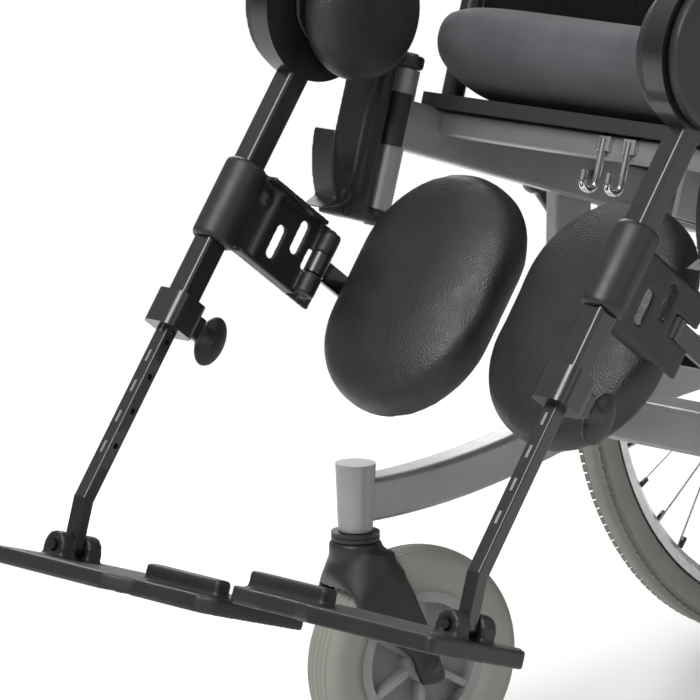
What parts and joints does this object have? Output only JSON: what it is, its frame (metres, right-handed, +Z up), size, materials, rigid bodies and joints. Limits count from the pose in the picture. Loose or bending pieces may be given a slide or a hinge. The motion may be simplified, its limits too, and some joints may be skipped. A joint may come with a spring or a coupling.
{
  "type": "reclining wheelchair",
  "caption": "Tilt-in-space reclining wheelchair with swing-away elevating legrests, oval calf pads, fold-up footplates, spoked rear wheels and swivel casters.",
  "frame": {"origin": "on the floor, midway along and across the chair", "axes": "+Z up, the chair faces -Y, +X is the user's left"},
  "size_m": [0.71, 1.3708, 1.2143],
  "materials": {
    "silver": "silver powder coat",
    "black_metal": "black powder coat",
    "black_plastic": "matte moulded",
    "upholstery": "fine grain",
    "seat_fabric": "woven",
    "tyre": "grey rubber",
    "rim": "satin",
    "caster_rim": "moulded",
    "chrome": "polished",
    "grip": "ribbed rubber",
    "board": "textured board",
    "axle": "brushed"
  },
  "bodies": {
    "base": {"base_frame": "silver", "base_cross_tubes": "silver", "axle_plates": "axle", "anti_tippers": "black_metal", "caster_seals": "black_plastic", "brake_brackets": "black_metal"},
    "seat": {"seat_frame": "silver", "post_sleeves": "black_plastic", "tie_down_hooks": "chrome", "seat_board": "board", "seat_cushion": "seat_fabric", "arm_brackets": "black_metal"},
    "back": {"back_frame": "silver", "back_panel": "board", "back_cushion": "seat_fabric", "push_grips": "grip"},
    "headrest": {"headrest_stem": "axle", "headrest_pad": "upholstery"},
    "tilt_cylinder": {"tilt_spring_cylinder": "black_metal"},
    "tilt_rod": {"tilt_spring_rod": "axle"},
    "recline_cylinder": {"recline_spring_cylinder": "black_metal"},
    "recline_rod": {"recline_spring_rod": "axle"},
    "rear_wheel_right": {"rear_tyre_right": "tyre", "rear_rim_right": "rim"},
    "caster_fork_right": {"caster_fork_right": "black_plastic"},
    "caster_wheel_right": {"caster_tyre_right": "tyre", "caster_rim_right": "caster_rim"},
    "brake_right": {"brake_lever_right": "black_metal"},
    "trigger_right": {"trigger_right": "black_plastic"},
    "arm_right": {"arm_frame_right": "black_metal", "arm_pad_right": "upholstery"},
    "hanger_right": {"hanger_right": "black_plastic", "knee_pad_right": "upholstery"},
    "release_lever_right": {"release_lever_right": "black_plastic"},
    "leg_right": {"leg_tube_right": "black_metal", "calf_bracket_right": "black_plastic"},
    "wing_knob_right": {"wing_knob_right": "black_plastic"},
    "calf_right": {"calf_arm_right": "black_metal", "calf_pad_right": "upholstery"},
    "extension_right": {"extension_tube_right": "black_metal"},
    "footplate_right": {"footplate_right": "black_plastic"},
    "rear_wheel_left": {"rear_tyre_left": "tyre", "rear_rim_left": "rim"},
    "caster_fork_left": {"caster_fork_left": "black_plastic"},
    "caster_wheel_left": {"caster_tyre_left": "tyre", "caster_rim_left": "caster_rim"},
    "brake_left": {"brake_lever_left": "black_metal"},
    "trigger_left": {"trigger_left": "black_plastic"},
    "arm_left": {"arm_frame_left": "black_metal", "arm_pad_left": "upholstery"},
    "hanger_left": {"hanger_left": "black_plastic", "knee_pad_left": "upholstery"},
    "release_lever_left": {"release_lever_left": "black_plastic"},
    "leg_left": {"leg_tube_left": "black_metal", "calf_bracket_left": "black_plastic"},
    "wing_knob_left": {"wing_knob_left": "black_plastic"},
    "calf_left": {"calf_arm_left": "black_metal", "calf_pad_left": "upholstery"},
    "extension_left": {"extension_tube_left": "black_metal"},
    "footplate_left": {"footplate_left": "black_plastic"}
  },
  "joints": [
    {"name": "seat_tilt", "type": "hinge", "parent": "base", "child": "seat", "pos_m": [0, -0.01751, 0.49914], "axis": [-1, 0, 0], "range_deg": [-17, 10]},
    {"name": "back_recline", "type": "hinge", "parent": "seat", "child": "back", "pos_m": [0, 0.1738, 0.48862], "axis": [-1, 0, 0], "range_deg": [0, 40]},
    {"name": "headrest_height", "type": "slide", "parent": "back", "child": "headrest", "axis": [0, 0.4546, 0.8907], "range_m": [-0.045, 0.06]},
    {"name": "tilt_spring_swing", "type": "hinge", "parent": "base", "child": "tilt_cylinder", "pos_m": [-0.06, 0.01546, 0.32146], "axis": [-1, 0, 0], "range_deg": [-12.56, 7.51]},
    {"name": "tilt_spring_stroke", "type": "slide", "parent": "tilt_cylinder", "child": "tilt_rod", "axis": [0, 0.876, 0.4823], "range_m": [-0.03024, 0.0507]},
    {"name": "recline_spring_swing", "type": "hinge", "parent": "seat", "child": "recline_cylinder", "pos_m": [0.06, -0.16531, 0.51515], "axis": [-1, 0, 0], "range_deg": [-4.73, 0.3]},
    {"name": "recline_spring_stroke", "type": "slide", "parent": "recline_cylinder", "child": "recline_rod", "axis": [0, 0.9571, -0.2897], "range_m": [-0.04622, 0.001]},
    {"name": "rear_wheel_spin_right", "type": "hinge", "parent": "base", "child": "rear_wheel_right", "pos_m": [-0.308, 0.38046, 0.305], "axis": [1, 0, 0], "continuous": true},
    {"name": "caster_swivel_right", "type": "hinge", "parent": "base", "child": "caster_fork_right", "pos_m": [-0.233, -0.28454, 0.221], "axis": [0, 0, 1], "continuous": true},
    {"name": "caster_spin_right", "type": "hinge", "parent": "caster_fork_right", "child": "caster_wheel_right", "pos_m": [-0.22094, -0.22781, 0.1], "axis": [-0.9781, 0.2079, 0], "continuous": true},
    {"name": "brake_right", "type": "hinge", "parent": "base", "child": "brake_right", "pos_m": [-0.268, 0.04146, 0.36], "axis": [1, 0, 0], "range_deg": [0, 25]},
    {"name": "trigger_right", "type": "hinge", "parent": "back", "child": "trigger_right", "pos_m": [-0.18, 0.50752, 0.93129], "axis": [1, 0, 0], "range_deg": [0, 12], "stiffness_Nm_per_rad": 0.6, "springref_deg": -17.19},
    {"name": "arm_flip_right", "type": "hinge", "parent": "seat", "child": "arm_right", "pos_m": [-0.243, 0.14833, 0.52153], "axis": [-1, 0, 0], "range_deg": [0, 100]},
    {"name": "legrest_swing_right", "type": "hinge", "parent": "seat", "child": "hanger_right", "pos_m": [-0.214, -0.25654, 0.5724], "axis": [0, -0.293, -0.9561], "range_deg": [0, 90]},
    {"name": "release_lever_right", "type": "hinge", "parent": "hanger_right", "child": "release_lever_right", "pos_m": [-0.214, -0.32706, 0.51975], "axis": [1, 0, 0], "range_deg": [0, 10], "stiffness_Nm_per_rad": 0.5, "springref_deg": -17.19},
    {"name": "legrest_elevate_right", "type": "hinge", "parent": "hanger_right", "child": "leg_right", "pos_m": [-0.217, -0.34591, 0.68267], "axis": [-1, 0, 0], "range_deg": [0, 55]},
    {"name": "wing_knob_right", "type": "hinge", "parent": "leg_right", "child": "wing_knob_right", "pos_m": [-0.217, -0.50643, 0.44082], "axis": [0, 0.8086, -0.5884], "range_deg": [-180, 180]},
    {"name": "calf_swing_right", "type": "hinge", "parent": "leg_right", "child": "calf_right", "pos_m": [-0.197, -0.36438, 0.46608], "axis": [0, -0.5884, -0.8086], "range_deg": [0, 60]},
    {"name": "leg_length_right", "type": "slide", "parent": "leg_right", "child": "extension_right", "axis": [0, -0.5884, -0.8086], "range_m": [0, 0.05]},
    {"name": "footplate_fold_right", "type": "hinge", "parent": "extension_right", "child": "footplate_right", "pos_m": [-0.217, -0.61935, 0.26349], "axis": [0, -0.9561, 0.293], "range_deg": [0, 75]},
    {"name": "rear_wheel_spin_left", "type": "hinge", "parent": "base", "child": "rear_wheel_left", "pos_m": [0.308, 0.38046, 0.305], "axis": [1, 0, 0], "continuous": true},
    {"name": "caster_swivel_left", "type": "hinge", "parent": "base", "child": "caster_fork_left", "pos_m": [0.233, -0.28454, 0.221], "axis": [0, 0, 1], "continuous": true},
    {"name": "caster_spin_left", "type": "hinge", "parent": "caster_fork_left", "child": "caster_wheel_left", "pos_m": [0.22094, -0.22781, 0.1], "axis": [0.9781, 0.2079, 0], "continuous": true},
    {"name": "brake_left", "type": "hinge", "parent": "base", "child": "brake_left", "pos_m": [0.268, 0.04146, 0.36], "axis": [1, 0, 0], "range_deg": [0, 25]},
    {"name": "trigger_left", "type": "hinge", "parent": "back", "child": "trigger_left", "pos_m": [0.18, 0.50752, 0.93129], "axis": [1, 0, 0], "range_deg": [0, 12], "stiffness_Nm_per_rad": 0.6, "springref_deg": -17.19},
    {"name": "arm_flip_left", "type": "hinge", "parent": "seat", "child": "arm_left", "pos_m": [0.243, 0.14833, 0.52153], "axis": [-1, 0, 0], "range_deg": [0, 100]},
    {"name": "legrest_swing_left", "type": "hinge", "parent": "seat", "child": "hanger_left", "pos_m": [0.214, -0.25654, 0.5724], "axis": [0, 0.293, 0.9561], "range_deg": [0, 90]},
    {"name": "release_lever_left", "type": "hinge", "parent": "hanger_left", "child": "release_lever_left", "pos_m": [0.214, -0.32706, 0.51975], "axis": [1, 0, 0], "range_deg": [0, 10], "stiffness_Nm_per_rad": 0.5, "springref_deg": -17.19},
    {"name": "legrest_elevate_left", "type": "hinge", "parent": "hanger_left", "child": "leg_left", "pos_m": [0.217, -0.34591, 0.68267], "axis": [-1, 0, 0], "range_deg": [0, 55]},
    {"name": "wing_knob_left", "type": "hinge", "parent": "leg_left", "child": "wing_knob_left", "pos_m": [0.217, -0.50643, 0.44082], "axis": [0, 0.8086, -0.5884], "range_deg": [-180, 180]},
    {"name": "calf_swing_left", "type": "hinge", "parent": "leg_left", "child": "calf_left", "pos_m": [0.197, -0.36438, 0.46608], "axis": [0, 0.5884, 0.8086], "range_deg": [0, 60]},
    {"name": "leg_length_left", "type": "slide", "parent": "leg_left", "child": "extension_left", "axis": [0, -0.5884, -0.8086], "range_m": [0, 0.05]},
    {"name": "footplate_fold_left", "type": "hinge", "parent": "extension_left", "child": "footplate_left", "pos_m": [0.217, -0.61111, 0.27481], "axis": [0, 0.9561, -0.293], "range_deg": [0, 75]}
  ],
  "couplings": [
    {"joint": "tilt_spring_swing", "follows": "seat_tilt", "ratio": 0.72134},
    {"joint": "tilt_spring_stroke", "follows": "seat_tilt", "m_per_rad": -0.16751},
    {"joint": "recline_spring_swing", "follows": "back_recline", "ratio": -0.11066},
    {"joint": "recline_spring_stroke", "follows": "back_recline", "m_per_rad": -0.06478}
  ]
}
